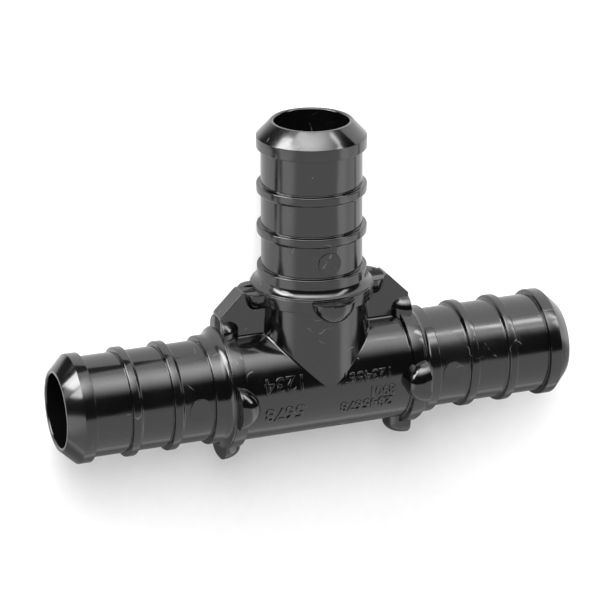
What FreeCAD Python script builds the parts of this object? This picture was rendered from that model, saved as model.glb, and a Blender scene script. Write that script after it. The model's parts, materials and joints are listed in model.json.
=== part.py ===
import FreeCAD, Part
import math
import os
import Sketcher

# Moulded tee for half-inch crimp tubing. It lies on its back: the run is along X, the branch points along
# +Y and the side that carries the round ejector pads faces up. The origin is where the axes of the run and
# the branch cross. All three ports are alike, so they share one outline: a bevelled nose, a lip, ribs that
# grip the tube, a bead and a collar. Four half-round tabs on each collar stop the tube, and a flat web
# stiffens each corner of the tee.

SIZES = {
    # bore and walls
    "bore_radius": 4.08,
    "spigot_wall": 1.48,
    "body_wall": 2.08,
    # lengths along a port, from the crossing of the axes
    "stop_reach": 11.1,
    "insert_length": 18.55,
    # nose and lip
    "rim_width": 0.42,
    "nose_length": 1.65,
    "lip_land": 1.3,
    # ribs
    "rib_height": 0.49,
    "rib_pitch": 4.7,
    "rib_land": 0.95,
    "rib_face": 0.04,
    "rib_slope": 0.1,
    "band_length": 2.13,
    # bead, collar and saddle
    "bead_height": 0.67,
    "bead_land": 0.2,
    "bead_length": 0.9,
    "toe_length": 0.46,
    "toe_height": 0.13,
    "flank_length": 0.33,
    "flank_height": 0.35,
    "collar_step": 0.1,
    "collar_length": 1.35,
    "saddle_step": 0.05,
    # stop tabs; the gap is what a run tab and a branch tab leave between them in the corner
    "tab_gap": 0.35,
    "tab_height": 1.58,
    "tab_bevel": 0.7,
    # corner webs
    "web_thickness": 2.4,
    "web_bevel": 2.5,
    # roundings
    "corner_rounding": 0.35,
    # ejector pads
    "pad_radius": 1.3,
    "pad_reach": 14.9,
    "pad_height": 0.06,
}

CUT_MARGIN = 0.5  # how far a cut reaches past what it cuts
TOUCH = 1e-4  # two places nearer than this are the same place
SEAM_SLACK = 2e-3  # a seam between two curved faces is only this close to both


class Spot:
    """How a sketch numbers the points of a curve, and its own axes; its origin starts the first axis."""
    START, END, CENTRE = range(1, 4)
    H_AXIS, V_AXIS = range(-1, -3, -1)


ALONG_X = FreeCAD.Vector(1, 0, 0)
ALONG_Y = FreeCAD.Vector(0, 1, 0)

# Radii and reaches that the driving sizes give, as formulas on the sheet
MOUTH = "(Sizes.bore_radius + Sizes.rim_width)"
ROOT = "(Sizes.bore_radius + Sizes.spigot_wall)"
CREST = f"({ROOT} + Sizes.rib_height)"
BEAD = f"({CREST} + Sizes.bead_height)"
COLLAR = f"({BEAD} + Sizes.collar_step)"
TAB_END = f"({COLLAR} + Sizes.tab_height)"
BODY = "(Sizes.bore_radius + Sizes.body_wall)"
BRANCH_BODY = f"({BODY} - Sizes.saddle_step)"
STOP = "Sizes.stop_reach"
TAB_RADIUS = f"({STOP} - {TAB_END} - Sizes.tab_gap)"
TIP = "(Sizes.stop_reach + Sizes.insert_length)"
LIP_END = f"({TIP} - Sizes.nose_length - Sizes.lip_land)"
BAND_END = "(Sizes.stop_reach + Sizes.band_length)"
BEAD_EDGE = "(Sizes.stop_reach + Sizes.bead_land)"
BEAD_FOOT = f"({BEAD_EDGE} + Sizes.bead_length)"
TOE_END = f"({BEAD_FOOT} - Sizes.toe_length)"
TOE_TOP = f"({CREST} + Sizes.toe_height)"
FLANK_END = f"({TOE_END} - Sizes.flank_length)"
FLANK_TOP = f"({TOE_TOP} + Sizes.flank_height)"
COLLAR_END = "(Sizes.stop_reach - Sizes.collar_length)"


def make_sheet(doc):
    sheet = doc.addObject("Spreadsheet::Sheet", "Sizes")
    for row, (alias, size) in enumerate(SIZES.items(), 1):
        sheet.set(f"A{row}", alias)
        sheet.set(f"B{row}", str(size))
        sheet.setAlias(f"B{row}", alias)
    doc.recompute()
    return sheet


def length(sheet, formula):
    return float(sheet.evalExpression(formula))


def origin_plane(body, role):
    return next(feature for feature in body.Origin.OriginFeatures if feature.Role == role)


def new_sketch(body, name, role):
    sketch = body.newObject("Sketcher::SketchObject", name)
    sketch.AttachmentSupport = (origin_plane(body, role), [""])
    sketch.MapMode = "FlatFace"
    return sketch


def bind(sketch, constraint, formula):
    index = sketch.addConstraint(constraint)
    sketch.setExpression(f"Constraints[{index}]", formula)


def fix_point(sketch, line, end, across, up):
    """Holds one end of a line at two formulas from the sketch's origin; 0 puts it on the axis itself."""
    for kind, formula, axis in (("DistanceX", across, Spot.V_AXIS), ("DistanceY", up, Spot.H_AXIS)):
        if formula == "0":
            sketch.addConstraint(Sketcher.Constraint("PointOnObject", line, end, axis))
        else:
            size = float(sketch.evalExpression(formula))
            bind(sketch, Sketcher.Constraint(kind, Spot.H_AXIS, Spot.START, line, end, size), formula)


def draw_outline(sketch, corners):
    """A closed outline of straight lines through corners, each a pair of formulas."""
    places = []
    for across, up in corners:
        places.append(FreeCAD.Vector(sketch.evalExpression(across), sketch.evalExpression(up), 0))
    for place, following in zip(places, places[1:] + places[:1]):
        sketch.addGeometry(Part.LineSegment(place, following), False)
    for number, (across, up) in enumerate(corners):
        before = (number - 1) % len(corners)
        sketch.addConstraint(Sketcher.Constraint("Coincident", before, Spot.END, number, Spot.START))
        fix_point(sketch, number, Spot.START, across, up)


def hold_centre(sketch, curve, along_up, formula):
    """Holds a curve's centre on one of the sketch's axes, at a reach from the origin."""
    kind, axis = ("DistanceY", Spot.V_AXIS) if along_up else ("DistanceX", Spot.H_AXIS)
    reach = float(sketch.evalExpression(formula))
    sketch.addConstraint(Sketcher.Constraint("PointOnObject", curve, Spot.CENTRE, axis))
    bind(sketch, Sketcher.Constraint(kind, Spot.H_AXIS, Spot.START, curve, Spot.CENTRE, reach), formula)


def hold_radius(sketch, curve, formula):
    bind(sketch, Sketcher.Constraint("Radius", curve, float(sketch.evalExpression(formula))), formula)


def rib_edges(sheet):
    """The reach of each rib's square edge, from the collar out; a longer spigot has room for more ribs."""
    room = length(sheet, f"{LIP_END} - 2 * Sizes.rib_face - {BAND_END}")
    count = int(room / length(sheet, "Sizes.rib_pitch")) + 1
    return [f"({BAND_END} + {number} * Sizes.rib_pitch)" for number in range(count)]


def port_outline(sheet, body_radius):
    """Half the section of a port from the tip to the crossing, as reach and radius."""
    corners = [("0", "0"), (TIP, "0"), (TIP, MOUTH), (f"{TIP} - Sizes.nose_length", CREST)]
    corners += [(LIP_END, CREST), (f"{LIP_END} - Sizes.rib_face", ROOT)]
    edges = rib_edges(sheet)
    for edge in reversed(edges):
        corners += [(f"{edge} + Sizes.rib_face", ROOT), (edge, CREST)]
        if edge != edges[0]:
            corners.append((f"{edge} - Sizes.rib_land", CREST))
            corners.append((f"{edge} - Sizes.rib_land - Sizes.rib_slope", ROOT))
    corners += [(BEAD_FOOT, CREST), (TOE_END, TOE_TOP), (FLANK_END, FLANK_TOP), (BEAD_EDGE, BEAD)]
    corners += [(STOP, BEAD), (STOP, COLLAR), (COLLAR_END, COLLAR)]
    corners += [(COLLAR_END, body_radius), ("0", body_radius)]
    return corners


def revolve(body, kind, name, sketch, axis):
    feature = body.newObject(kind, name)
    feature.Profile = sketch
    feature.ReferenceAxis = (sketch, [axis])
    feature.Angle = 360
    return feature


def mirror(body, name, features):
    feature = body.newObject("PartDesign::Mirrored", name)
    feature.Originals = features
    feature.MirrorPlane = (origin_plane(body, "YZ_Plane"), [""])
    body.Tip = feature
    return feature


def pad_both_ways(body, name, sketch, formula):
    feature = body.newObject("PartDesign::Pad", name)
    feature.Profile = sketch
    feature.SideType = "Symmetric"
    feature.setExpression("Length", formula)
    return feature


def make_ports(doc, sheet, body):
    sketch = new_sketch(body, "run_outline", "XY_Plane")
    draw_outline(sketch, port_outline(sheet, BODY))
    right = revolve(body, "PartDesign::Revolution", "right_port", sketch, "H_Axis")
    mirror(body, "left_port", [right])
    sketch = new_sketch(body, "branch_outline", "XY_Plane")
    outline = port_outline(sheet, BRANCH_BODY)
    draw_outline(sketch, [(radius, reach) for reach, radius in outline])
    revolve(body, "PartDesign::Revolution", "branch_port", sketch, "V_Axis")
    doc.recompute()


def finish_edges(doc, body, kind, name, edges, formula):
    """A fillet or a chamfer on edges of the shape as it is so far."""
    base = body.Tip
    feature = body.newObject(f"PartDesign::{kind}", name)
    feature.Base = (base, edges)
    feature.setExpression("Radius" if kind == "Fillet" else "Size", formula)
    doc.recompute()


def half_disc(body, name, role, along_up):
    """A tab's outline: its flat side on the stop plane and its round side towards the crossing."""
    sketch = new_sketch(body, name, role)
    stop = sketch.evalExpression(STOP)
    radius = sketch.evalExpression(TAB_RADIUS)
    centre = FreeCAD.Vector(0, stop, 0) if along_up else FreeCAD.Vector(stop, 0, 0)
    side = FreeCAD.Vector(-radius, 0, 0) if along_up else FreeCAD.Vector(0, radius, 0)
    first = math.pi if along_up else math.pi / 2
    circle = Part.Circle(centre, FreeCAD.Vector(0, 0, 1), radius)
    arc = sketch.addGeometry(Part.ArcOfCircle(circle, first, first + math.pi), False)
    flat = sketch.addGeometry(Part.LineSegment(centre - side, centre + side), False)
    sketch.addConstraint(Sketcher.Constraint("Coincident", flat, Spot.START, arc, Spot.END))
    sketch.addConstraint(Sketcher.Constraint("Coincident", flat, Spot.END, arc, Spot.START))
    sketch.addConstraint(Sketcher.Constraint("Horizontal" if along_up else "Vertical", flat))
    sketch.addConstraint(Sketcher.Constraint("PointOnObject", arc, Spot.CENTRE, flat))
    hold_centre(sketch, arc, along_up, STOP)
    hold_radius(sketch, arc, TAB_RADIUS)
    return sketch


def make_tabs(doc, sheet, body):
    """Four tabs on each collar: each two that face away from each other are one pad through the collar."""
    across = f"2 * {TAB_END}"
    plan = half_disc(body, "run_tab_plan", "XY_Plane", False)
    up_down = pad_both_ways(body, "run_tabs_up_down", plan, across)
    side = half_disc(body, "run_tab_side", "XZ_Plane", False)
    sideways = pad_both_ways(body, "run_tabs_sideways", side, across)
    mirror(body, "left_tabs", [up_down, sideways])
    plan = half_disc(body, "branch_tab_plan", "XY_Plane", True)
    pad_both_ways(body, "branch_tabs_up_down", plan, across)
    side = half_disc(body, "branch_tab_side", "YZ_Plane", False)
    pad_both_ways(body, "branch_tabs_sideways", side, across)
    doc.recompute()
    finish_edges(doc, body, "Chamfer", "tab_bevels", tab_rims(sheet, body.Tip.Shape), "Sizes.tab_bevel")


def tab_rims(sheet, shape):
    """The curved edges round the tabs' flat ends."""
    reach, radius = length(sheet, TAB_END), length(sheet, TAB_RADIUS)
    names = []
    for number, edge in enumerate(shape.Edges, 1):
        if edge.Curve.TypeId != "Part::GeomCircle" or abs(edge.Curve.Radius - radius) > TOUCH:
            continue
        if any(abs(abs(place) - reach) < TOUCH for place in edge.Curve.Center):
            names.append(f"Edge{number}")
    return names


def make_webs(doc, body):
    sketch = new_sketch(body, "web_outline", "XY_Plane")
    bevelled = f"({STOP} - Sizes.web_bevel)"
    draw_outline(sketch, [("0", "0"), (STOP, "0"), (STOP, bevelled), (bevelled, STOP), ("0", STOP)])
    right = pad_both_ways(body, "right_web", sketch, "Sizes.web_thickness")
    mirror(body, "left_web", [right])
    doc.recompute()


def samples(edge):
    span = edge.LastParameter - edge.FirstParameter
    return [edge.valueAt(edge.FirstParameter + share * span) for share in (0.1, 0.5, 0.9)]


def on_tube(points, direction, radius):
    return all(abs(point.cross(direction).Length - radius) < SEAM_SLACK for point in points)


def corner_seams(sheet, shape):
    """Where the run, the branch and the webs meet."""
    run_radius, branch_radius = length(sheet, BODY), length(sheet, BRANCH_BODY)
    half_web = length(sheet, "Sizes.web_thickness / 2")
    names = []
    for number, edge in enumerate(shape.Edges, 1):
        points = samples(edge)
        on_run = on_tube(points, ALONG_X, run_radius)
        on_branch = on_tube(points, ALONG_Y, branch_radius)
        on_web = all(abs(abs(point.z) - half_web) < TOUCH for point in points)
        if on_run + on_branch + on_web == 2:
            names.append(f"Edge{number}")
    return names


def make_pads(doc, body):
    """Round marks that ejector pins leave on top of each spigot, flat and a little proud of the root."""
    height = f"{ROOT} + Sizes.pad_height"
    pads = []
    for name, along_up in (("right_pad", False), ("branch_pad", True)):
        sketch = new_sketch(body, f"{name}_plan", "XY_Plane")
        reach, radius = sketch.evalExpression("Sizes.pad_reach"), sketch.evalExpression("Sizes.pad_radius")
        centre = FreeCAD.Vector(0, reach, 0) if along_up else FreeCAD.Vector(reach, 0, 0)
        disc = sketch.addGeometry(Part.Circle(centre, FreeCAD.Vector(0, 0, 1), radius), False)
        hold_centre(sketch, disc, along_up, "Sizes.pad_reach")
        hold_radius(sketch, disc, "Sizes.pad_radius")
        pad = body.newObject("PartDesign::Pad", name)
        pad.Profile = sketch
        pad.setExpression("Length", height)
        pads.append(pad)
    mirror(body, "left_pad", pads[:1])
    doc.recompute()


def bore_circle(body, name, role):
    sketch = new_sketch(body, name, role)
    radius = sketch.evalExpression("Sizes.bore_radius")
    circle = Part.Circle(FreeCAD.Vector(0, 0, 0), FreeCAD.Vector(0, 0, 1), radius)
    disc = sketch.addGeometry(circle, False)
    sketch.addConstraint(Sketcher.Constraint("Coincident", disc, Spot.CENTRE, Spot.H_AXIS, Spot.START))
    hold_radius(sketch, disc, "Sizes.bore_radius")
    return sketch


def make_bores(doc, body):
    """One bore through the run and one from the branch's tip down to the crossing."""
    run = body.newObject("PartDesign::Pocket", "run_bore")
    run.Profile = bore_circle(body, "run_bore_circle", "YZ_Plane")
    run.SideType = "Symmetric"
    run.setExpression("Length", f"2 * {TIP} + 2 * {CUT_MARGIN}")
    branch = body.newObject("PartDesign::Pocket", "branch_bore")
    branch.Profile = bore_circle(body, "branch_bore_circle", "XZ_Plane")
    branch.setExpression("Length", f"{TIP} + {CUT_MARGIN}")
    doc.recompute()
    if branch.Shape.Volume > run.Shape.Volume - CUT_MARGIN:
        raise RuntimeError("the branch bore cut nothing")


def check(doc, body):
    for item in doc.Objects:
        if "Invalid" in item.State or "Error" in item.State:
            raise RuntimeError(f"{item.Name} failed: {item.State}")
    if body.Shape.isNull() or not body.Shape.isValid():
        raise RuntimeError("the fitting's shape is not sound")
    if len(body.Shape.Solids) != 1:
        raise RuntimeError("the fitting is not one solid")


def main():
    doc = FreeCAD.newDocument("tee")
    sheet = make_sheet(doc)
    body = doc.addObject("PartDesign::Body", "tee_fitting")
    body.Label = "tee_fitting"
    body.Placement = FreeCAD.Placement()
    make_ports(doc, sheet, body)
    make_tabs(doc, sheet, body)
    make_webs(doc, body)
    seams = corner_seams(sheet, body.Tip.Shape)
    finish_edges(doc, body, "Fillet", "corner_rounding", seams, "Sizes.corner_rounding")
    make_pads(doc, body)
    make_bores(doc, body)
    doc.recompute()
    check(doc, body)
    os.makedirs("parts", exist_ok=True)
    body.Shape.exportStep("parts/tee_fitting.step")
    print(f"one solid of {body.Shape.Volume:.0f} cubic mm with {len(body.Shape.Faces)} faces")


main()
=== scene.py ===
# %% [markdown]
# # A moulded tee for flexible water tubing
# The real fitting is one glossy black moulding: a tee with three ribbed spigots, a collar with four
# stop tabs at the foot of each, and a flat web in each corner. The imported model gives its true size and
# place. Here it is modelled again with finer roundings, because on a glossy black surface every edge
# shows as a highlight.

# %% Load the frame
import json
import math

import bmesh
import bpy
from mathutils import Matrix, Vector


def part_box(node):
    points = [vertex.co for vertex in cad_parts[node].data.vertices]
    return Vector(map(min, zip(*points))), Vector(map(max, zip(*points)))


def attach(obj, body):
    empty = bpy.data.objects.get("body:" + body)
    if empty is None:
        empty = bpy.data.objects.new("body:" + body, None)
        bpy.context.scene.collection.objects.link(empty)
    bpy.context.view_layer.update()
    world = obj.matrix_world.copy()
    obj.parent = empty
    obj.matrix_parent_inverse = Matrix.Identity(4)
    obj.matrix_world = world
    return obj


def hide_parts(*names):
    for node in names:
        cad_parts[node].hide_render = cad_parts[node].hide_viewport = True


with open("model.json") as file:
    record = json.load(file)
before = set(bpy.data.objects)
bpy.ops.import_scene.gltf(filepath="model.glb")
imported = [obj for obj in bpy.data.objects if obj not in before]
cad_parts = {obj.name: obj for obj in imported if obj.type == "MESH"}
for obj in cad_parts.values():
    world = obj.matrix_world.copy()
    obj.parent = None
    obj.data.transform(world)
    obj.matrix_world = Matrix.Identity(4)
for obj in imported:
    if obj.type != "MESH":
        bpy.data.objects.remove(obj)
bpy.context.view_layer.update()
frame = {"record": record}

MM = 0.001
cad_low, cad_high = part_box("tee_fitting")
mounts = {mount["name"]: mount for mount in frame["record"]["mounts"]}
print("the packed tee runs from", tuple(cad_low), "to", tuple(cad_high))

# %% [markdown]
# ## Sizes
# The tip's reach, the bore, the ribs' crest and the tabs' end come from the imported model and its
# mounts, so the finish can't drift away from the part. The other sizes are the moulding's own, in
# millimetres. Reaches are measured along a port from where the axes cross. ROOT is a spigot's radius
# between its ribs, and BODY and BRANCH_BODY are the radii of the run and of the branch inside the
# collars. SEAT is a radius halfway through that wall, where the ends of other forms are buried. COLUMNS
# is the number of steps round a port.

# %% Name the sizes
TIP = cad_high.x / MM
BORE = mounts["run_bore"]["dims"]["r_mm"]
CREST = mounts["right_spigot"]["dims"]["r_mm"]
ROOT = 5.56
BODY, BRANCH_BODY = 6.16, 6.11
STOP = 11.1
BEAD, COLLAR = 6.72, 6.82
COLLAR_END = 9.75
TAB_END = -cad_low.z / MM
TAB_RADIUS = 2.4
WEB_HALF = 1.2
WEB_CUT = 2.5
CORNER_ROUNDING = 0.35
SEAT = 0.5 * (BORE + BODY)
COLUMNS = 192
print("tip", round(TIP, 2), "bore", BORE, "crest", CREST, "tab end", round(TAB_END, 2))


# %% [markdown]
# ## Helpers
# A bmesh is Blender's workbench for a mesh. Each form below is shaped in one of its own, in
# millimetres, and then poured into the moulding's mesh, so that every form has closed walls and outward
# faces of its own.

# %% Pour a form into a mesh
NEAR = 1e-4


def pour(form, target):
    """Adds a form to another mesh, with its doubles merged and its faces turned outwards."""
    bmesh.ops.remove_doubles(form, verts=form.verts, dist=NEAR)
    bmesh.ops.recalc_face_normals(form, faces=form.faces)
    carrier = bpy.data.meshes.new("carrier")
    form.to_mesh(carrier)
    form.free()
    target.from_mesh(carrier)
    bpy.data.meshes.remove(carrier)


print("places nearer than", NEAR, "mm are merged")

# %% [markdown]
# ## The handling of a form
# Three small jobs come back again and again: taking all of a form, turning it about an axis, and
# rounding some of its edges.

# %% Handle a form
def everything(form):
    return form.verts[:] + form.edges[:] + form.faces[:]


def turn(form, angle, axis):
    bmesh.ops.rotate(form, verts=form.verts, cent=(0, 0, 0), matrix=Matrix.Rotation(angle, 3, axis))


def round_edges(form, edges, size, segments):
    bmesh.ops.bevel(form, geom=edges, affect="EDGES", offset=size, offset_type="OFFSET",
                    segments=segments, profile=0.5, material=-1)


print("a form can be taken whole, turned and rounded")

# %% [markdown]
# ## From a form to a piece
# The finished mesh is scaled from millimetres to metres. Its faces are shaded smooth, except across
# edges sharper than SMOOTH_DEGREES, and the Weighted Normal modifier keeps the large flat faces free of
# false shading.

# %% Finish a piece
SMOOTH_DEGREES = 35


def finish_piece(name, form):
    """A mesh in millimetres becomes a piece in metres that rides on the tee."""
    bmesh.ops.scale(form, vec=(MM, MM, MM), verts=form.verts)
    mesh = bpy.data.meshes.new(name)
    form.to_mesh(mesh)
    form.free()
    mesh.shade_smooth()
    mesh.set_sharp_from_angle(angle=math.radians(SMOOTH_DEGREES))
    piece = bpy.data.objects.new(name, mesh)
    bpy.context.scene.collection.objects.link(piece)
    weighted = piece.modifiers.new("weighted_normals", "WEIGHTED_NORMAL")
    weighted.mode = "FACE_AREA"
    weighted.weight = 100
    weighted.keep_sharp = True
    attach(piece, "root")
    print(name, "has", len(mesh.vertices), "vertices and", len(mesh.polygons), "faces")
    return piece


print("edges sharper than", SMOOTH_DEGREES, "degrees stay sharp")

# %% [markdown]
# ## The outline of a port
# A lathe shape needs one wire. The corners stand in a list as reach along the port, radius and
# rounding. From the crossing outwards they draw the body, the collar, the bead with its hollow outer
# flank, a band, two ribs, the lip and the nose, and then the bore. The ribs are low and nearly square.
# Their edge towards the tip is crisp, and their side towards the collar slopes a little, from a softer
# edge to a rounded foot.

# %% List the outline's corners
SHARP, CRISP, SOFT, INNER, FOOT = 0.08, 0.12, 0.22, 0.05, 0.25
COLLAR_FOOT, STOP_EDGE, STOP_CORNER, MOUTH_EDGE = 0.2, 0.04, 0.03, 0.2
BAND_EDGE, RIB_EDGES = 13.23, (17.93, 22.63)
RIB_LAND, RIB_FACE, RAMP = 0.95, 0.04, 0.1
NOSE, LIP_LAND, RIM = 1.65, 1.3, 0.42
BEAD_LAND, BEAD_SLOPE, BEAD_ROUNDING = 0.2, 0.36, 0.9


def port_corners(body_radius):
    corners = [(0, body_radius, 0), (COLLAR_END, body_radius, COLLAR_FOOT), (COLLAR_END, COLLAR, SHARP)]
    corners += [(STOP, COLLAR, STOP_EDGE), (STOP, BEAD, STOP_CORNER), (STOP + BEAD_LAND, BEAD, SHARP)]
    corners.append((STOP + BEAD_LAND + BEAD_SLOPE, CREST, BEAD_ROUNDING))
    corners += [(BAND_EDGE, CREST, CRISP), (BAND_EDGE + RIB_FACE, ROOT, INNER)]
    for edge in RIB_EDGES:
        corners += [(edge - RIB_LAND - RAMP, ROOT, FOOT), (edge - RIB_LAND, CREST, SOFT)]
        corners += [(edge, CREST, CRISP), (edge + RIB_FACE, ROOT, INNER)]
    lip = TIP - NOSE - LIP_LAND
    corners += [(lip - RIB_FACE, ROOT, INNER), (lip, CREST, SHARP), (TIP - NOSE, CREST, INNER)]
    corners += [(TIP, BORE + RIM, SHARP), (TIP, BORE, MOUTH_EDGE), (0, BORE, 0)]
    return corners


print("the port's outline has", len(port_corners(BODY)), "corners")

# %% [markdown]
# ## Rounded corners on a wire
# A bevel on a vertex of the wire turns its corner into an arc. The rounding is the arc's radius, so the
# bevel starts at that radius times the tangent of half the bend.

# %% Round the wire
ARC_DEGREES = 15


def rounded_wire(corners):
    """A wire in the XY plane through corners given as reach, radius and rounding."""
    wire = bmesh.new()
    points = [wire.verts.new((reach, radius, 0)) for reach, radius, _ in corners]
    for point, following in zip(points, points[1:]):
        wire.edges.new((point, following))
    places = [point.co.copy() for point in points]
    for number in range(1, len(points) - 1):
        rounding = corners[number][2]
        if rounding:
            arriving = places[number] - places[number - 1]
            bend = arriving.angle(places[number + 1] - places[number])
            bmesh.ops.bevel(wire, geom=[points[number]], affect="VERTICES", profile=0.5, material=-1,
                            offset=rounding * math.tan(bend / 2), offset_type="OFFSET",
                            segments=max(2, round(math.degrees(bend) / ARC_DEGREES)))
    return wire


print("an arc takes a step for every", ARC_DEGREES, "degrees")

# %% [markdown]
# ## The ports
# Each port is the wire spun about its axis. At the crossing the walls of the run and the branch would
# block each other's bore. The bores have one radius, so their walls meet on the mitre where reach
# equals height, and the outer walls stop halfway inside the other tube, where nothing shows.

# %% Spin a port and open the crossing
SPIN_MERGE, MIDDLE = 1e-5, 1e-6


def spin_port(body_radius, both_sides):
    """A port along +X, cut back for the crossing tube on its +Y side, or on both sides."""
    port = rounded_wire(port_corners(body_radius))
    bmesh.ops.spin(port, geom=port.verts[:] + port.edges[:], cent=(0, 0, 0), axis=(1, 0, 0),
                   dvec=(0, 0, 0), angle=math.tau, steps=COLUMNS, use_merge=True, use_duplicate=False)
    bmesh.ops.remove_doubles(port, verts=port.verts, dist=SPIN_MERGE)
    for vert in port.verts:
        if vert.co.x > MIDDLE:
            continue
        side = abs(vert.co.y) if both_sides else max(0, vert.co.y)
        if math.hypot(vert.co.y, vert.co.z) < SEAT:
            vert.co.x = side
        elif side:
            vert.co.x = math.sqrt(max(0, SEAT ** 2 - vert.co.z ** 2))
    return port


def close_crossing(port):
    """Joins the outer wall's open rim to the bore's, inside the wall of the other tube."""
    rims = [edge for edge in port.edges if edge.is_boundary]
    bmesh.ops.bridge_loops(port, edges=rims)


moulding = bmesh.new()
run = spin_port(BODY, both_sides=False)
bmesh.ops.mirror(run, geom=everything(run), axis="X", merge_dist=NEAR)
close_crossing(run)
pour(run, moulding)

branch = spin_port(BRANCH_BODY, both_sides=True)
close_crossing(branch)
turn(branch, math.pi / 2, "Z")
pour(branch, moulding)
open_edges = sum(edge.is_boundary for edge in moulding.edges)
print("the ports have", len(moulding.faces), "faces and", open_edges, "open edges")


# %% [markdown]
# ## The corner webs
# A flat web fills each corner between the run and the branch. It starts inside their walls and ends
# level with the stop planes, with its outer corner cut off. A narrow bevel gives its edges the thin
# highlight that moulded edges have.

# %% Model a web
def make_web(side):
    web = bmesh.new()
    low = SEAT
    high = STOP - WEB_CUT
    outline = [(low, low), (STOP, low), (STOP, high), (high, STOP), (low, STOP)]
    sheet = web.faces.new([web.verts.new((side * x, y, -WEB_HALF)) for x, y in outline])
    raised = bmesh.ops.extrude_face_region(web, geom=[sheet])["geom"]
    tops = [item for item in raised if isinstance(item, bmesh.types.BMVert)]
    bmesh.ops.translate(web, verts=tops, vec=(0, 0, 2 * WEB_HALF))
    bmesh.ops.recalc_face_normals(web, faces=web.faces)
    round_edges(web, web.edges[:], SHARP, 3)
    return web


for side in (1, -1):
    pour(make_web(side), moulding)
print("with webs:", len(moulding.faces), "faces")


# %% [markdown]
# ## The fillets in the corners
# Where two moulded walls meet there is a small rounding, as if a ball had rolled along the corner. The
# ball's centre is one radius off both walls, so its path and its two touching points come from a
# formula. Each section of the fillet is the arc between those points and one more point that is BURIED
# in the wall.

# %% Roll a fillet
ARC_STEPS = 6
BURIED = 0.2


def fillet_section(centre, first_normal, second_normal):
    """The places round one section of a fillet, for a ball that touches two walls with these normals."""
    places = []
    for step in range(ARC_STEPS + 1):
        normal = first_normal.slerp(second_normal, step / ARC_STEPS)
        places.append(centre - normal * CORNER_ROUNDING)
    depth = (CORNER_ROUNDING + BURIED) / (1 + first_normal.dot(second_normal))
    places.append(centre - (first_normal + second_normal) * depth)
    return places


def roll_fillet(sections):
    """A closed bar that runs through sections, each a ring of places."""
    bar = bmesh.new()
    rings = []
    for places in sections:
        ring = [bar.verts.new(place) for place in places]
        edges = [bar.edges.new((vert, ring[number - 1])) for number, vert in enumerate(ring)]
        rings.append((ring, edges))
    for (_, edges), (_, following) in zip(rings, rings[1:]):
        bmesh.ops.bridge_loops(bar, edges=edges + following)
    for ring, _ in (rings[0], rings[-1]):
        bar.faces.new(ring)
    return bar


print("a fillet's arc has", ARC_STEPS, "steps")

# %% [markdown]
# ## The paths of the ball
# Where the branch grows out of the run, the ball rolls along a saddle from one web to the other. Along
# the foot of a web its path is straight. A path runs on by OVERRUN at its ends, into the web or the
# collar.

# %% Lay the fillets
SADDLE_STEPS = 96
OVERRUN = 0.3
RUN_BALL, BRANCH_BALL = BODY + CORNER_ROUNDING, BRANCH_BODY + CORNER_ROUNDING
WEB_BALL = WEB_HALF + CORNER_ROUNDING


def saddle_sections(face):
    """From one web over the front (1) or the back (-1) of the branch to the other web."""
    start = math.asin((WEB_BALL - OVERRUN) / BRANCH_BALL)
    for step in range(SADDLE_STEPS + 1):
        angle = start + (math.pi - 2 * start) * step / SADDLE_STEPS
        sideways, depth = BRANCH_BALL * math.cos(angle), BRANCH_BALL * math.sin(angle)
        outwards = math.sqrt(RUN_BALL ** 2 - depth ** 2)
        centre = Vector((sideways, outwards, face * depth))
        on_run = Vector((0, outwards, face * depth)).normalized()
        on_branch = Vector((sideways, 0, face * depth)).normalized()
        yield fillet_section(centre, on_run, on_branch)


def web_sections(side, face, on_the_run):
    """Along the foot of a web, on the run or on the branch."""
    ball = RUN_BALL if on_the_run else BRANCH_BALL
    outwards = math.sqrt(ball ** 2 - WEB_BALL ** 2)
    for reach in (SEAT + OVERRUN, COLLAR_END + OVERRUN):
        if on_the_run:
            wall = Vector((0, outwards, face * WEB_BALL))
            centre = wall + Vector((side * reach, 0, 0))
        else:
            wall = Vector((side * outwards, 0, face * WEB_BALL))
            centre = wall + Vector((0, reach, 0))
        yield fillet_section(centre, wall.normalized(), Vector((0, 0, face)))


for face in (1, -1):
    pour(roll_fillet(saddle_sections(face)), moulding)
    for side in (1, -1):
        for on_the_run in (True, False):
            pour(roll_fillet(web_sections(side, face, on_the_run)), moulding)
print("with fillets:", len(moulding.faces), "faces")


# %% [markdown]
# ## The stop tabs
# Four half-round tabs stand on each collar. Their flat side is the stop plane that the tube butts
# against. Each starts as a round button, raised from a disc, with a wide soft rounding that is a little
# flattened.

# %% Raise a button
TAB_FOOT = 5.0
TAB_ROUNDING, TAB_ROUNDING_STEPS, TAB_FLATTENING = 1.8, 12, 0.72
ROUND_STEPS = 64


def top_rim(form, height):
    """The edges that lie level with the form's top."""
    return [edge for edge in form.edges if all(vert.co.z > height - NEAR for vert in edge.verts)]


def make_button():
    """A round button on a port along +X, standing up along +Z."""
    tab = bmesh.new()
    bmesh.ops.create_circle(tab, cap_ends=True, radius=TAB_RADIUS, segments=ROUND_STEPS)
    bmesh.ops.translate(tab, verts=tab.verts, vec=(STOP, 0, TAB_FOOT))
    raised = bmesh.ops.extrude_face_region(tab, geom=tab.faces[:])["geom"]
    tops = [item for item in raised if isinstance(item, bmesh.types.BMVert)]
    bmesh.ops.translate(tab, verts=tops, vec=(0, 0, TAB_END - TAB_FOOT))
    bmesh.ops.recalc_face_normals(tab, faces=tab.faces)
    round_edges(tab, top_rim(tab, TAB_END), TAB_ROUNDING, TAB_ROUNDING_STEPS)
    upper = [vert for vert in tab.verts if vert.co.z > TAB_FOOT + NEAR]
    about_top = Matrix.Translation((0, 0, -TAB_END))
    bmesh.ops.scale(tab, verts=upper, vec=(1, 1, TAB_FLATTENING), space=about_top)
    return tab


print("a button is", 2 * TAB_RADIUS, "mm wide")

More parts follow.
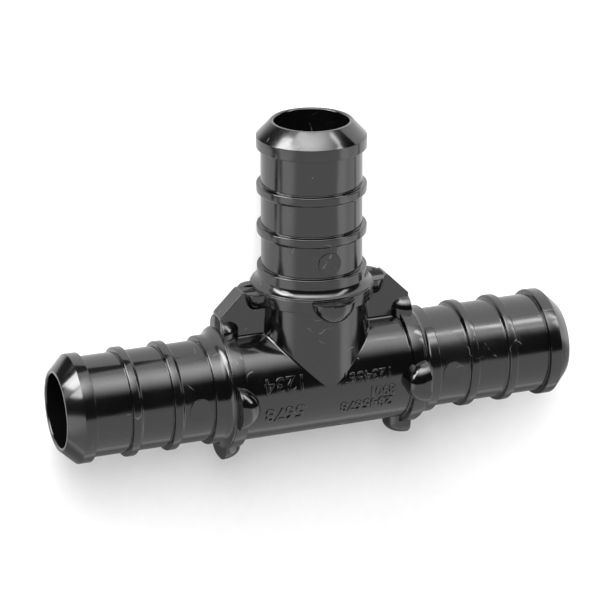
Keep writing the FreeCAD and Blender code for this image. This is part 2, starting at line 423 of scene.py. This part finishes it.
# %% [markdown]
# ## From a button to a tab
# The button is cut into strips, so that its end can bend to a circle about the port's axis. Then the
# half beyond the stop plane is cut away, the cut is closed, and its brink gets a narrow rounding. The
# cuts take a vertex that is NEAR their plane as lying on it, so they leave no slivers beside it.

# %% Bend and cut a tab
TAB_CUTS = 11
PORT_ANGLES = (0, math.pi / 2, math.pi)


def make_tab():
    tab = make_button()
    for number in range(1, TAB_CUTS + 1):
        cut = TAB_RADIUS * (2 * number / (TAB_CUTS + 1) - 1)
        bmesh.ops.bisect_plane(tab, geom=everything(tab), dist=NEAR, plane_co=(0, cut, 0),
                               plane_no=(0, 1, 0))
    for vert in tab.verts:
        if vert.co.z > TAB_FOOT + NEAR:
            vert.co.z += math.sqrt(TAB_END ** 2 - vert.co.y ** 2) - TAB_END
    bmesh.ops.bisect_plane(tab, geom=everything(tab), dist=NEAR, plane_co=(STOP, 0, 0),
                           plane_no=(1, 0, 0), clear_outer=True)
    bmesh.ops.holes_fill(tab, edges=[edge for edge in tab.edges if edge.is_boundary])
    flat = next(face for face in tab.faces if all(vert.co.x > STOP - NEAR for vert in face.verts))
    brink = [edge for edge in flat.edges if any(vert.co.z > TAB_FOOT + NEAR for vert in edge.verts)]
    round_edges(tab, brink, SHARP, 2)
    return tab


for port_angle in PORT_ANGLES:
    for quarter in range(4):
        tab = make_tab()
        turn(tab, quarter * math.pi / 2, "X")
        turn(tab, port_angle, "Z")
        pour(tab, moulding)
print("with tabs:", len(moulding.faces), "faces")


# %% [markdown]
# ## The ejector pads
# The pins that push the hot moulding out of its mould leave a flat round mark on the front of each
# spigot. A short cylinder with a fine edge, sunk into the wall, stands just proud of it.

# %% Model the pads
PAD_REACH, PAD_RADIUS, PAD_TOP, PAD_FOOT, PAD_EDGE = 14.9, 1.3, 5.62, 5.0, 0.04
for port_angle in PORT_ANGLES:
    pad = bmesh.new()
    bmesh.ops.create_cone(pad, cap_ends=True, segments=ROUND_STEPS, radius1=PAD_RADIUS,
                          radius2=PAD_RADIUS, depth=PAD_TOP - PAD_FOOT)
    bmesh.ops.translate(pad, verts=pad.verts, vec=(PAD_REACH, 0, 0.5 * (PAD_TOP + PAD_FOOT)))
    round_edges(pad, top_rim(pad, PAD_TOP), PAD_EDGE, 2)
    turn(pad, port_angle, "Z")
    pour(pad, moulding)
print("with pads:", len(moulding.faces), "faces")


# %% [markdown]
# ## The raised numerals
# Small raised numerals stand on the front of the run. Each row is written flat, made a mesh, and then
# wrapped round the run: its height becomes an angle about the axis.

# %% Write a row of numerals
NUMERAL_DEPTH, NUMERAL_BEVEL, NUMERAL_THINNING = 0.07, 0.09, -0.04


def raise_numerals(text, reach, arc, size):
    """A row of numerals, centred on a reach along the run and an arc length from its front."""
    curve = bpy.data.curves.new("numerals", "FONT")
    curve.body = text
    curve.size = size
    curve.align_x, curve.align_y = "CENTER", "CENTER"
    curve.extrude = NUMERAL_DEPTH
    curve.bevel_depth = NUMERAL_BEVEL
    curve.bevel_resolution = 2
    curve.offset = NUMERAL_THINNING
    curve.resolution_u = 4
    writing = bpy.data.objects.new("numerals", curve)
    flat = bpy.data.meshes.new_from_object(writing)
    numerals = bmesh.new()
    numerals.from_mesh(flat)
    bpy.data.objects.remove(writing)
    bpy.data.curves.remove(curve)
    bpy.data.meshes.remove(flat)
    for vert in numerals.verts:
        angle = (arc - vert.co.y) / BODY
        radius = BODY + vert.co.z
        vert.co = (reach - vert.co.x, radius * math.sin(angle), radius * math.cos(angle))
    return numerals


print("the numerals stand", round(NUMERAL_DEPTH + NUMERAL_BEVEL, 2), "mm proud")

# %% [markdown]
# ## The finished moulding
# Each row of numerals is given with its reach, its arc length from the front, and its size. With them
# the mesh is whole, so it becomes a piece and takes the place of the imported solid.

# %% Set the numerals and finish the piece
NUMERAL_ROWS = (("1234", -5.3, 1.85, 2.5), ("5678", -5.4, -1.6, 2.3), ("1234567", 4.3, 1.5, 1.75),
                ("8901", 6.0, -0.45, 1.6), ("2345678", 4.2, -1.95, 1.75))
for row in NUMERAL_ROWS:
    pour(raise_numerals(*row), moulding)
tee = finish_piece("tee_moulding", moulding)
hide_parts("tee_fitting")

# %% [markdown]
# ## Shader maths in plain Python
# A node tree is easier to read as sums. This class holds one socket, and its operators add the Math
# node that does the same sum. Colours are blended by a Mix node, because a Math node would turn them
# grey.

# %% Wrap a socket
class Signal:
    def __init__(self, tree, socket):
        self.tree = tree
        self.socket = socket

    def node(self, kind, settings=(), **inputs):
        """Any node, by its type, its settings and the values or links of its inputs."""
        node = self.tree.nodes.new(kind)
        for name, value in dict(settings).items():
            setattr(node, name, value)
        for name, value in inputs.items():
            numbered = name[1:].isdigit()
            socket = node.inputs[int(name[1:]) if numbered else name.replace("_", " ")]
            if isinstance(value, Signal):
                value.feed(socket)
            else:
                socket.default_value = value
        return node

    def feed(self, socket):
        self.tree.links.new(self.socket, socket)

    def maths(self, operation, *values):
        inputs = {f"_{number}": value for number, value in enumerate(values)}
        node = self.node("ShaderNodeMath", {"operation": operation}, **inputs)
        return Signal(self.tree, node.outputs[0])

    def mix(self, first, second):
        """A colour that goes from first to second as this signal goes from 0 to 1."""
        node = self.node("ShaderNodeMix", {"data_type": "RGBA"}, Factor=self, _6=first, _7=second)
        return Signal(self.tree, node.outputs[2])

    def __add__(self, other):
        return self.maths("ADD", self, other)

    def __sub__(self, other):
        return self.maths("SUBTRACT", self, other)

    def __mul__(self, other):
        return self.maths("MULTIPLY", self, other)

    def __rsub__(self, other):
        return self.maths("SUBTRACT", other, self)

    __radd__ = __add__
    __rmul__ = __mul__

    def between(self, low, high):
        """0 below low, 1 above high and smooth between."""
        settings = {"interpolation_type": "SMOOTHSTEP"}
        node = self.node("ShaderNodeMapRange", settings, Value=self, From_Min=low, From_Max=high)
        return Signal(self.tree, node.outputs[0])


print("a socket can be added, subtracted, multiplied and mixed")

# %% [markdown]
# ## The black plastic
# The moulding is a dark, dense plastic with a polished skin. Almost all that the eye sees is reflected
# light, so the base colour is nearly black and the finish lies in the roughness and in a very faint
# waviness. All patterns are noises that read the piece's own coordinates, so they stay on it from any
# side.

# %% Start the plastic
plastic = bpy.data.materials.new("black_plastic")
plastic.use_nodes = True
tree = plastic.node_tree
tree.nodes.clear()
output = tree.nodes.new("ShaderNodeOutputMaterial")
shader = tree.nodes.new("ShaderNodeBsdfPrincipled")
tree.links.new(shader.outputs[0], output.inputs[0])
place = Signal(tree, tree.nodes.new("ShaderNodeTexCoord").outputs["Object"])


def noise(scale, detail):
    node = place.node("ShaderNodeTexNoise", Vector=place, Scale=scale, Detail=detail)
    return Signal(tree, node.outputs[0])


smudges = noise(scale=140.0, detail=3.0)
grain = noise(scale=2600.0, detail=2.0)
waves = noise(scale=420.0, detail=1.0)
swell = noise(scale=170.0, detail=1.0)
print("smudges, grain, waves and swell are ready")

# %% [markdown]
# ## Dust and scratches
# Dust is what rises above the level of a fine noise. A hair scratch is a thin curved line where a
# smooth noise passes its middle value. It shows only in worn patches, and a finer noise breaks it into
# short bits.

# %% Scuff the surface
SCRATCH_WIDTH, SCRATCH_CORE = 0.012, 0.4


def line_of(field, width):
    """A thin line wherever a smooth field passes its middle value."""
    return 1 - field.maths("ABSOLUTE", field - 0.5).between(SCRATCH_CORE * width, width)


dust = noise(scale=1300.0, detail=2.0).between(0.74, 0.8)
worn = noise(scale=230.0, detail=1.0).between(0.57, 0.66)
broken = noise(scale=900.0, detail=1.0).between(0.45, 0.6)
scratches = line_of(noise(scale=330.0, detail=1.0), SCRATCH_WIDTH) * worn * broken
scuffs = dust + scratches
print("so far the plastic has", len(tree.nodes), "nodes")

# %% [markdown]
# ## The finish
# Smudges, worn patches and scuffs blur the gloss a little, and scuffs also show pale. The bump is very
# faint: a slow swell that makes the reflections waver, with small waves and grain on it.

# %% Finish the plastic
DEEP_BLACK, SOFT_BLACK = (0.0015, 0.0015, 0.0017, 1), (0.003, 0.003, 0.0032, 1)
PALE_SCUFF, SCUFF_COVER = (0.1, 0.1, 0.1, 1), 0.7
POLISH, GLOSS_INDEX = 0.1, 1.75
WAVE_STRENGTH, WAVE_DEPTH = 0.1, 0.0001

roughness = POLISH + smudges.between(0.35, 0.75) * 0.07 + worn * 0.05 + grain * 0.02 + scuffs * 0.2
roughness.feed(shader.inputs["Roughness"])
tint = smudges.mix(DEEP_BLACK, SOFT_BLACK)
(scuffs * SCUFF_COVER).mix(tint, PALE_SCUFF).feed(shader.inputs["Base Color"])
relief = waves + swell * 8.0 + grain * 0.12
bump = place.node("ShaderNodeBump", Strength=WAVE_STRENGTH, Distance=WAVE_DEPTH, Height=relief)
tree.links.new(bump.outputs[0], shader.inputs["Normal"])
shader.inputs["IOR"].default_value = GLOSS_INDEX
tee.data.materials.append(plastic)
print("the plastic has", len(tree.nodes), "nodes")

# %% [markdown]
# ## The floor
# The fitting lies on its three back tabs on a plain pale floor. The floor is a hair lower than the
# tabs, so that the two never share a plane, which would flicker.

# %% Lay the floor
FLOOR_SIZE, FLOOR_GAP = 1.5, 0.00002
floor_form = bmesh.new()
bmesh.ops.create_grid(floor_form, x_segments=1, y_segments=1, size=FLOOR_SIZE)
bmesh.ops.translate(floor_form, verts=floor_form.verts, vec=(0, 0, cad_low.z - FLOOR_GAP))
floor_mesh = bpy.data.meshes.new("floor")
floor_form.to_mesh(floor_mesh)
floor_form.free()
floor = bpy.data.objects.new("floor", floor_mesh)
bpy.context.scene.collection.objects.link(floor)
print("the floor lies at", round(cad_low.z / MM, 2), "mm")

# %% [markdown]
# ## The paper
# The floor's paper is pale and dull. Its pattern, and the zones of the next steps, read the place on
# the floor in metres: along the run, which points right, and along the branch, which points away. Light
# Path tells whether the camera or a reflection looks at the floor.

# %% Start the paper
paper = bpy.data.materials.new("paper")
paper.use_nodes = True
paper_tree = paper.node_tree
paper_shader = paper_tree.nodes["Principled BSDF"]
paper_shader.inputs["Roughness"].default_value = 0.9
paper_shader.inputs["Specular IOR Level"].default_value = 0.1
rays = paper_tree.nodes.new("ShaderNodeLightPath")
camera_ray = Signal(paper_tree, rays.outputs["Is Camera Ray"])
glossy_ray = Signal(paper_tree, rays.outputs["Is Glossy Ray"])
spot = Signal(paper_tree, paper_tree.nodes.new("ShaderNodeTexCoord").outputs["Object"])
spot_parts = spot.node("ShaderNodeSeparateXYZ", Vector=spot).outputs
along_run = Signal(paper_tree, spot_parts["X"])
along_branch = Signal(paper_tree, spot_parts["Y"])
leftwards = 0 - along_run
below_run = 0 - along_branch
print("the paper can tell its place and who looks at it")

# %% [markdown]
# ## Painted dark and bright reflections
# A photographer stands black flags and white cards beside a glossy thing, to draw its edges. Here they
# are painted on the floor as zones that only reflections see: painted black in the upper left corner
# and beside the left mouth, a weaker painted shadow below the run, and a painted bright card that gives
# the noses their streak on the left.

# %% Paint the dark reflections, the shadow and the bright card
def stripe(field, start, full, fading, gone):
    """1 between full and fading, and 0 outside start and gone."""
    return field.between(start, full) * (1 - field.between(fading, gone))


UNDER_SHADE = 0.75
# Painted dark reflections: the floor is black for glossy rays in the upper left corner and beside the
# left mouth.
corner_painted_dark = (along_branch - along_run * 0.4).between(0.031, 0.035) * leftwards.between(0.004, 0.012)
corner_painted_dark = corner_painted_dark * (1 - (along_branch - along_run).between(0.095, 0.105))
mouth_painted_dark = stripe(leftwards, 0.029, 0.031, 0.05, 0.055)
mouth_painted_dark = mouth_painted_dark * stripe(along_branch, 0.0065, 0.0085, 0.013, 0.019)
# Painted shadow: below the run the floor turns darker for reflections, as the shade under the fitting
# would.
under_painted_shadow = stripe(below_run, 0.004, 0.012, 0.03, 0.1) * UNDER_SHADE
painted_dark_reflections = corner_painted_dark + mouth_painted_dark + under_painted_shadow

# Painted highlight: a bright card on the floor that only reflections see, for the noses' streak.
near_side = (along_branch + leftwards * 1.45).between(0.094, 0.098)
branch_side = leftwards.between(0.025, 0.029)
lower_side = (along_branch - leftwards * 0.55).between(-0.014, -0.01)
upper_side = 1 - (along_branch - leftwards * 1.75).between(0.006, 0.014)
painted_highlight_card = near_side * branch_side * lower_side * upper_side
print("so far the paper has", len(paper_tree.nodes), "nodes")

# %% [markdown]
# ## The paper's colour and glow
# A glow that only the camera and reflections see lifts the lit floor to white, and the soft shadow
# stays. For the camera it is stronger above the run, as painted light that wipes out the fitting's
# shadow there, and far from the fitting it turns the floor into a white backdrop. The card's bright glow
# is a painted highlight for reflections alone.

# %% Finish the paper
PAPER_DARK, PAPER_LIGHT = (0.85, 0.85, 0.85, 1), (0.89, 0.89, 0.89, 1)
PAINTED_REFLECTION_BLACK, NO_GLOW = (0.03, 0.03, 0.03, 1), (0, 0, 0, 1)
FLOOR_GLOW, UPPER_PAINTED_FILL, PAINTED_HIGHLIGHT_GLOW = 0.03, 0.35, 10.0

fibres = spot.node("ShaderNodeTexNoise", Vector=spot, Scale=900.0, Detail=3.0)
shade = Signal(paper_tree, fibres.outputs[0]).mix(PAPER_DARK, PAPER_LIGHT)
# Painted reflections: glossy rays see the floor black in the painted dark zones and the painted shadow.
(glossy_ray * painted_dark_reflections).mix(shade, PAINTED_REFLECTION_BLACK).feed(paper_shader.inputs["Base Color"])
distance = spot.node("ShaderNodeVectorMath", {"operation": "LENGTH"}, _0=spot)
far_off = Signal(paper_tree, distance.outputs["Value"])
# Painted light: above the run the camera's glow is raised so that the fitting's shadow there is painted
# out.
lift = FLOOR_GLOW + along_branch.between(-0.012, 0.002) * UPPER_PAINTED_FILL + far_off.between(0.12, 0.4)
faint = (camera_ray * lift + glossy_ray * FLOOR_GLOW) * (1 / PAINTED_HIGHLIGHT_GLOW)
# The card glows for glossy rays alone, a painted reflection and not a lamp.
glow = (faint + glossy_ray * painted_highlight_card).mix(NO_GLOW, (PAINTED_HIGHLIGHT_GLOW, PAINTED_HIGHLIGHT_GLOW, PAINTED_HIGHLIGHT_GLOW, 1))
glow.feed(paper_shader.inputs["Emission Color"])
paper_shader.inputs["Emission Strength"].default_value = 1
floor.data.materials.append(paper)
print("the paper has", len(paper_tree.nodes), "nodes")

# %% [markdown]
# ## Camera
# The camera keeps the photograph's view of the fitting. In that view the branch stands up, so here,
# with the fitting on its back, the camera looks down on it. It is placed from the angles and distance
# of that view, with the run's axis on X, the branch on Y and the ejector pads towards the camera.

# %% Place the camera
AZIMUTH, ELEVATION, ROLL = math.radians(-20.737), math.radians(21.010), math.radians(-0.112)
DISTANCE = 0.327990
FOCAL_PIXELS = 2940.796
FRAME_PIXELS = 600
CROSSING_PIXEL = Vector((311.644, 373.454))
SENSOR_MM = 36
NEAREST_SEEN = 0.01


def direction_to(azimuth, elevation):
    """The direction at these angles in the photograph's upright view, in which the branch is up."""
    return Vector((math.sin(azimuth) * math.cos(elevation), math.sin(elevation),
                   math.cos(azimuth) * math.cos(elevation)))


back = direction_to(AZIMUTH, ELEVATION)
level = (-back).cross(Vector((0, 1, 0))).normalized()
upright = level.cross(-back).normalized()
right = math.cos(ROLL) * level + math.sin(ROLL) * upright
up = math.cos(ROLL) * upright - math.sin(ROLL) * level
offset = (CROSSING_PIXEL - Vector((FRAME_PIXELS / 2, FRAME_PIXELS / 2))) / FOCAL_PIXELS * DISTANCE
eye = back * DISTANCE - right * offset.x + up * offset.y
camera_data = bpy.data.cameras.new("camera")
camera_data.sensor_width = SENSOR_MM
camera_data.lens = FOCAL_PIXELS / FRAME_PIXELS * SENSOR_MM
camera_data.clip_start = NEAREST_SEEN
camera = bpy.data.objects.new("camera", camera_data)
camera.matrix_world = Matrix.Translation(eye) @ Matrix((right, up, back)).transposed().to_4x4()
bpy.context.scene.collection.objects.link(camera)
bpy.context.scene.camera = camera
print("the camera stands at", tuple(round(value / MM, 2) for value in eye), "mm")


# %% [markdown]
# ## Light
# Black gloss shows the room more than its own colour, so the light is laid out for its reflections.
# Narrow soft boxes at the sides give the thin bright streaks. The key box lights the floor and casts
# the shadow below the run, and reflections don't show it.

# %% Hang the lamps
LAMP_DISTANCE = 0.6


def soft_box(name, azimuth, elevation, width, height, radiance):
    """An area lamp that faces the fitting, with its place and its size as angles in degrees."""
    azimuth, elevation = math.radians(azimuth), math.radians(elevation)
    towards = direction_to(azimuth, elevation)
    sideways = Vector((math.cos(azimuth), 0, -math.sin(azimuth)))
    lamp_data = bpy.data.lights.new(name, "AREA")
    lamp_data.shape = "RECTANGLE"
    lamp_data.size = 2 * LAMP_DISTANCE * math.tan(math.radians(width / 2))
    lamp_data.size_y = 2 * LAMP_DISTANCE * math.tan(math.radians(height / 2))
    lamp_data.energy = radiance * math.pi * lamp_data.size * lamp_data.size_y
    lamp = bpy.data.objects.new(name, lamp_data)
    turned = Matrix((sideways, towards.cross(sideways), towards)).transposed()
    lamp.matrix_world = Matrix.Translation(towards * LAMP_DISTANCE) @ turned.to_4x4()
    bpy.context.scene.collection.objects.link(lamp)
    return lamp


key = soft_box("key", azimuth=-21, elevation=36, width=22, height=26, radiance=13.0)
key.visible_glossy = False
soft_box("left_strip", azimuth=-80, elevation=38, width=14, height=36, radiance=8.0)
soft_box("right_strip", azimuth=52, elevation=34, width=12, height=34, radiance=5.0)
soft_box("right_streak", azimuth=61, elevation=57, width=6, height=12, radiance=7.0)

# %% [markdown]
# ## Room
# The world is a studio, and its brightness changes with the direction, in the photograph's upright
# view. Below the table's far edge it is pale, with a brighter patch at the right and at the left. Above
# the edge it is dark, and a bright sheet beyond the branch's mouth fades in slowly and leans to the
# front and the left. The sheet gives the broad streaks along the upper sides. The camera itself sees a
# white backdrop.

# %% Paint the room
TABLE_GLOW, RIGHT_GLOW, LEFT_GLOW, DARK_GLOW = 0.85, 0.8, 0.7, 0.01
SHEET_START, SHEET_GAIN, SHEET_DIMMING = 0.55, 2.8, 0.55
SHEET_GLOW, SHEET_LEAN, LEAST_SHEET_GLOW = 3.7, 6.0, 0.6

world = bpy.data.worlds.new("room")
world.use_nodes = True
room = world.node_tree
direction = Signal(room, room.nodes.new("ShaderNodeTexCoord").outputs["Generated"])
parts = direction.node("ShaderNodeSeparateXYZ", Vector=direction).outputs
across, height, front = (Signal(room, parts[axis]) for axis in "XYZ")
table = 1 - height.between(-0.13, -0.05)
right_patch = across.between(0.55, 0.68) * (1 - across.between(0.76, 0.9) * 0.6)
left_patch = (0 - across).between(0.75, 0.9)
below = table * (TABLE_GLOW + right_patch * RIGHT_GLOW + left_patch * LEFT_GLOW)
rise = (height - SHEET_START) * SHEET_GAIN
rise = rise.maths("MAXIMUM", rise, 0.0)
rise = rise.maths("MINIMUM", rise * rise, 1.0)
sheet = rise * (1 - height.between(0.96, 0.995) * SHEET_DIMMING)
lean = SHEET_GLOW + (front - across) * SHEET_LEAN
above = sheet * lean.maths("MAXIMUM", lean, LEAST_SHEET_GLOW)
print("the room's light has", len(room.nodes), "nodes")

# %% [markdown]
# ## The backdrop for the camera
# Is Camera Ray is 1 for the camera's own rays, so there the room's strength is 1, which is white. All
# other rays get the studio.

# %% Show the camera a white backdrop
backdrop = room.nodes["Background"]
to_camera = Signal(room, room.nodes.new("ShaderNodeLightPath").outputs["Is Camera Ray"])
light = (below + above + DARK_GLOW) * (1 - to_camera) + to_camera
light.feed(backdrop.inputs["Strength"])
backdrop.inputs["Color"].default_value = (1, 1, 1, 1)
bpy.context.scene.world = world
bpy.context.scene.view_settings.view_transform = "Standard"
print("the room has", len(room.nodes), "nodes")
